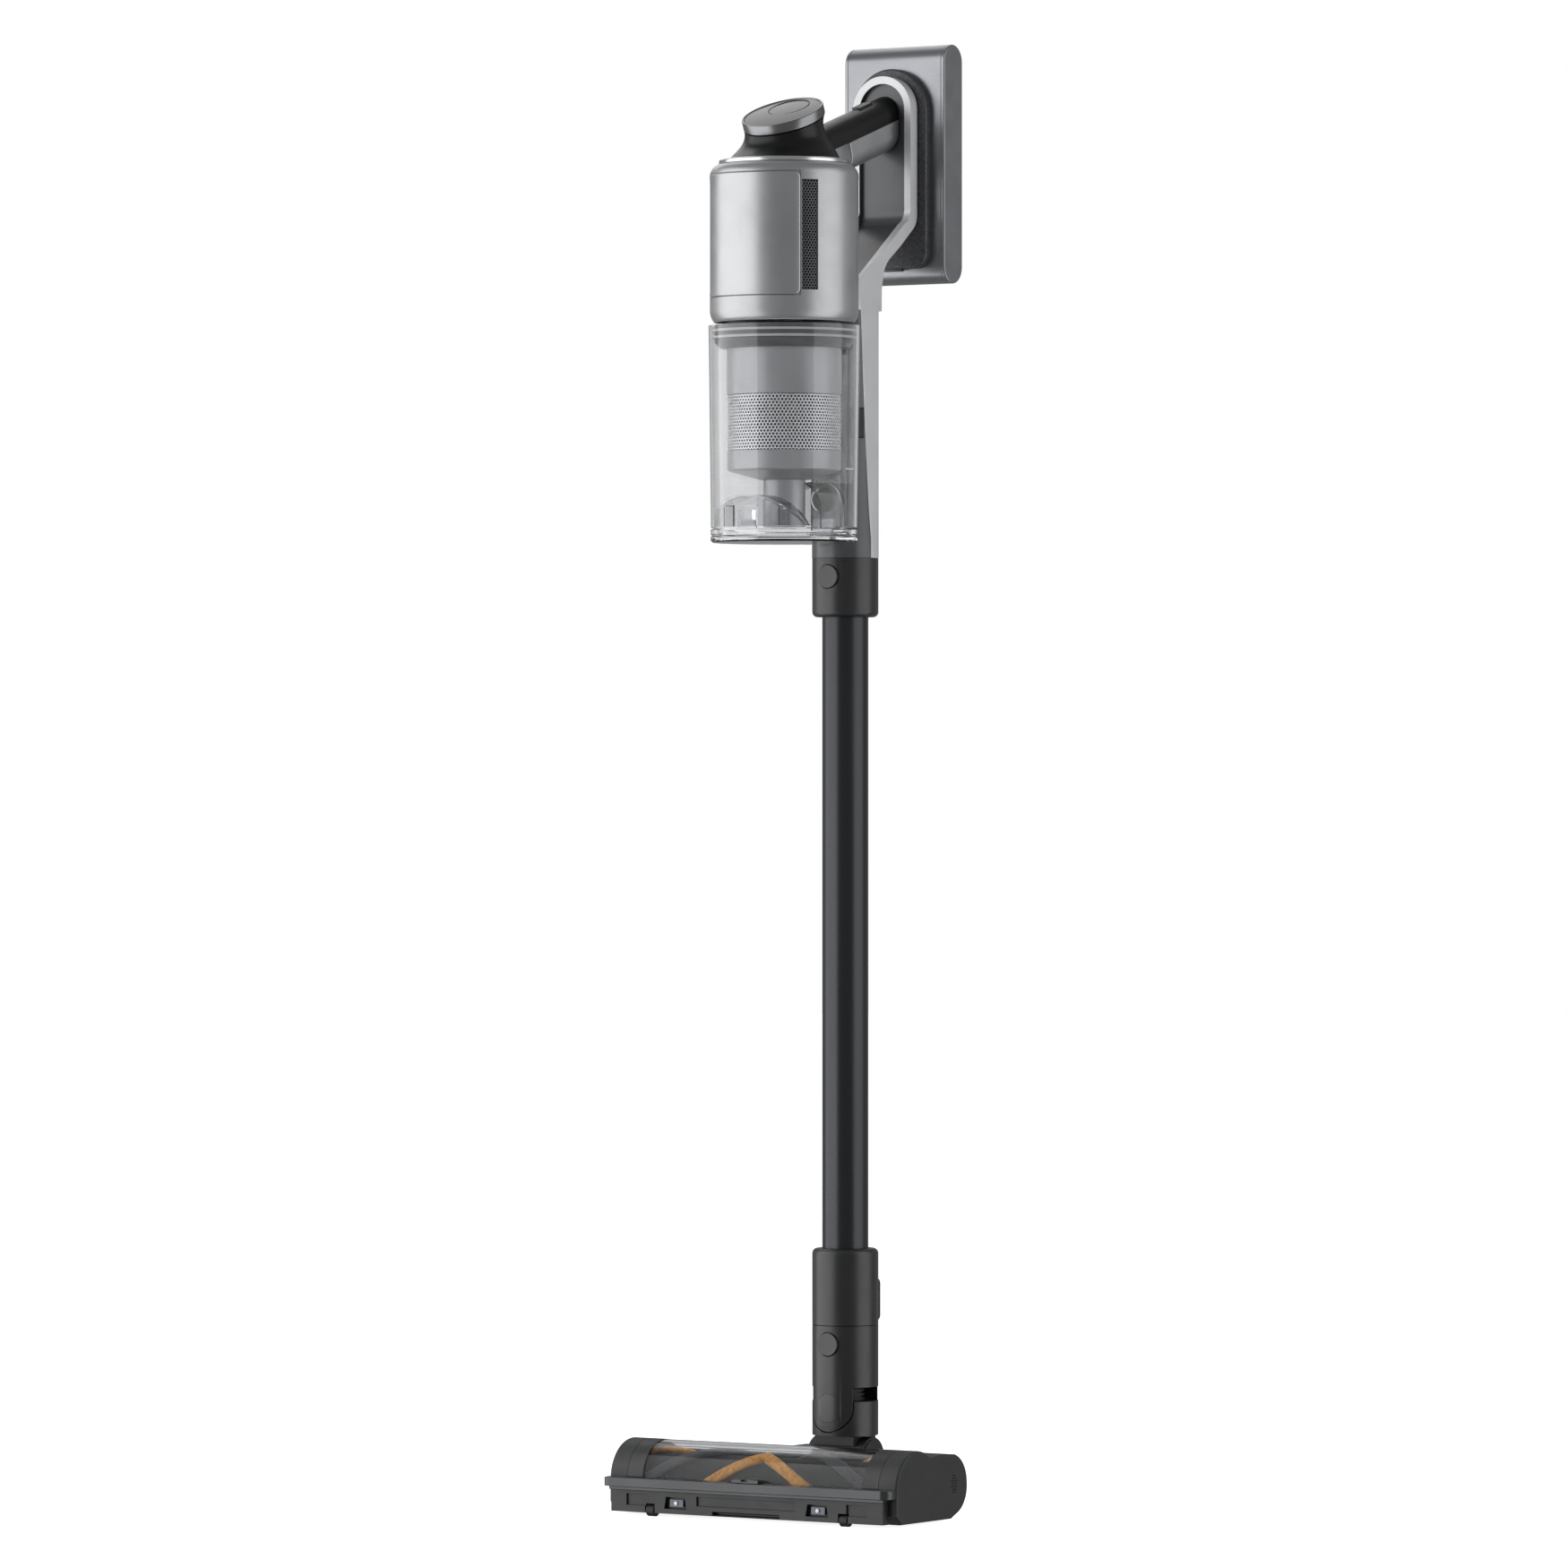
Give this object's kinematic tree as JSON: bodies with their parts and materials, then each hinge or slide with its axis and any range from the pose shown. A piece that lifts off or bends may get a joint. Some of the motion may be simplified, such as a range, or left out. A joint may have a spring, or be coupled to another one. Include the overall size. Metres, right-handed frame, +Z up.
{
  "type": "cordless stick vacuum",
  "caption": "Upright cordless stick vacuum: grip unit with clear cyclone dust bin and removable battery, straight wand and wide floor head with clear roller cover.",
  "frame": {"origin": "middle of the footprint at floor level, under the upright vacuum", "axes": "+Z up along the wand, floor head and dust bin face -Y, battery at the back (+Y), +X to the user's left when facing the head"},
  "size_m": [0.256, 0.2384, 1.114],
  "materials": {
    "grey_satin": "satin metallic grey",
    "grey_cover": "satin metallic grey, lighter",
    "bright_trim": "bright satin trim",
    "grille_black": "perforated",
    "black_gloss": "gloss black",
    "black_satin": "satin black",
    "boss_dark": "textured dark grey",
    "wand_black": "satin black anodised",
    "collar_black": "satin dark grey",
    "button_black": "satin black",
    "hose_black": "ribbed",
    "clear_bin": "clear polycarbonate",
    "clear_head": "clear smoked polycarbonate",
    "cyclone_silver": "silver",
    "cyclone_mesh": "perforated steel",
    "flange_dark": "dark grey",
    "seal_rubber": "soft seal",
    "steel": "plain steel",
    "rotor_metal": "turned",
    "filter_felt": "felt",
    "cell_wrap": "shrink wrap",
    "head_dark": "moulded dark grey",
    "lip_grey": "satin dark grey",
    "lens": "blue-grey lens",
    "roller_dark": "moulded",
    "gold_pile": "woven pile",
    "grey_pile": "woven pile",
    "belt_rubber": "toothed",
    "wheel_rubber": "soft tread"
  },
  "bodies": {
    "main_unit": {"motor_housing": "grey_satin", "front_cover": "grey_cover", "vent_grilles": "grille_black", "trim_rings": "bright_trim", "display_neck": "black_satin", "display_glass": "black_gloss", "handle_frame": "grey_satin", "grip_cover": "black_satin", "grip_shell": "grey_satin", "air_filters": "filter_felt", "motor_bulkhead": "flange_dark", "motor_stator": "steel", "duct_gasket": "seal_rubber"},
    "fan": {"motor_rotor": "rotor_metal"},
    "power_button": {"power_button": "black_satin"},
    "bin_release": {"bin_release_button": "black_satin"},
    "battery": {"battery_case": "grey_satin", "battery_end_caps": "grey_cover", "battery_boss": "boss_dark", "battery_cells": "cell_wrap"},
    "battery_release": {"battery_release_button": "boss_dark"},
    "bin": {"bin_cup": "clear_bin", "bin_fittings": "clear_bin", "cyclone_flange": "flange_dark", "flange_seals": "seal_rubber", "cyclone_body": "cyclone_silver", "cyclone_mesh": "cyclone_mesh", "cyclone_base": "cyclone_silver", "cyclone_cones": "flange_dark", "lid_hinge_pin": "steel"},
    "bin_lid": {"bin_lid": "clear_bin"},
    "bin_latch": {"bin_latch": "clear_bin"},
    "wand": {"wand_tube": "wand_black", "wand_top_collar": "collar_black", "wand_lower_collar": "collar_black", "wand_contact_cover": "collar_black"},
    "wand_button": {"wand_button": "button_black"},
    "head_socket": {"head_socket": "collar_black"},
    "head_button": {"head_button": "button_black"},
    "neck": {"neck": "collar_black", "neck_hose": "hose_black", "steering_pins": "collar_black"},
    "floor_head": {"tail_bracket": "head_dark", "head_chassis": "head_dark", "end_caps": "head_dark", "front_bumper": "head_dark", "front_lip": "lip_grey", "headlight_lenses": "lens", "roller_bearings": "steel", "brush_motor": "steel", "drive_belt": "belt_rubber"},
    "cover": {"clear_cover": "clear_head", "cover_frames": "head_dark"},
    "cover_latch": {"lip_latch": "lip_grey"},
    "roller": {"roller_core": "roller_dark", "gold_strips": "gold_pile", "grey_strips": "grey_pile"},
    "motor_pulley": {"motor_pulley": "rotor_metal"},
    "front_wheels": {"front_wheels": "wheel_rubber"},
    "rear_wheels": {"rear_wheels": "wheel_rubber"}
  },
  "joints": [
    {"name": "fan_spin", "type": "hinge", "parent": "main_unit", "child": "fan", "pos_m": [0, -0.0618, 0.94], "axis": [0, 0, 1], "continuous": true},
    {"name": "power_button_press", "type": "slide", "parent": "main_unit", "child": "power_button", "axis": [0, 0.3007, -0.9537], "range_m": [0, 0.0015], "stiffness_N_per_m": 400},
    {"name": "bin_release_press", "type": "slide", "parent": "main_unit", "child": "bin_release", "axis": [-1, 0, 0], "range_m": [0, 0.0015], "stiffness_N_per_m": 400},
    {"name": "battery_pull", "type": "slide", "parent": "main_unit", "child": "battery", "axis": [0, 1, 0], "range_m": [0, 0.1]},
    {"name": "battery_release_press", "type": "slide", "parent": "battery", "child": "battery_release", "axis": [0, 0, 1], "range_m": [0, 0.002], "stiffness_N_per_m": 400},
    {"name": "bin_pull", "type": "slide", "parent": "main_unit", "child": "bin", "axis": [0, 0, -1], "range_m": [0, 0.2]},
    {"name": "bin_lid_swing", "type": "hinge", "parent": "bin", "child": "bin_lid", "pos_m": [0, -0.0058, 0.7331], "axis": [1, 0, 0], "range_deg": [0, 90]},
    {"name": "bin_latch_press", "type": "slide", "parent": "bin", "child": "bin_latch", "axis": [0, 1, 0], "range_m": [0, 0.0015], "stiffness_N_per_m": 400},
    {"name": "wand_pull", "type": "slide", "parent": "main_unit", "child": "wand", "axis": [0, 0, -1], "range_m": [0, 0.1]},
    {"name": "wand_button_press", "type": "slide", "parent": "wand", "child": "wand_button", "axis": [0, 1, 0], "range_m": [0, 0.0012], "stiffness_N_per_m": 400},
    {"name": "head_pull", "type": "slide", "parent": "wand", "child": "head_socket", "axis": [0, 0, -1], "range_m": [0, 0.08]},
    {"name": "head_button_press", "type": "slide", "parent": "head_socket", "child": "head_button", "axis": [0, 1, 0], "range_m": [0, 0.0012], "stiffness_N_per_m": 400},
    {"name": "steer", "type": "hinge", "parent": "head_socket", "child": "neck", "pos_m": [0, 0.0232, 0.0778], "axis": [0, 1, 0], "range_deg": [-22, 22]},
    {"name": "recline", "type": "hinge", "parent": "neck", "child": "floor_head", "pos_m": [0, 0.0232, 0.039], "axis": [1, 0, 0], "range_deg": [0, 80]},
    {"name": "roller_spin", "type": "hinge", "parent": "floor_head", "child": "roller", "pos_m": [0, -0.0768, 0.0256], "axis": [1, 0, 0], "continuous": true},
    {"name": "motor_pulley_spin", "type": "hinge", "parent": "floor_head", "child": "motor_pulley", "pos_m": [0, -0.0328, 0.027], "axis": [1, 0, 0], "continuous": true},
    {"name": "cover_swing", "type": "hinge", "parent": "floor_head", "child": "cover", "pos_m": [0, -0.059, 0.0489], "axis": [-1, 0, 0], "range_deg": [0, 60]},
    {"name": "cover_latch_slide", "type": "slide", "parent": "floor_head", "child": "cover_latch", "axis": [0, -1, 0], "range_m": [0, 0.003], "stiffness_N_per_m": 300},
    {"name": "front_wheel_spin", "type": "hinge", "parent": "floor_head", "child": "front_wheels", "pos_m": [0, -0.1106, 0.0045], "axis": [1, 0, 0], "continuous": true},
    {"name": "rear_wheel_spin", "type": "hinge", "parent": "floor_head", "child": "rear_wheels", "pos_m": [0, -0.0348, 0.009], "axis": [1, 0, 0], "continuous": true}
  ],
  "couplings": [
    {"joint": "motor_pulley_spin", "follows": "roller_spin", "ratio": 2}
  ]
}
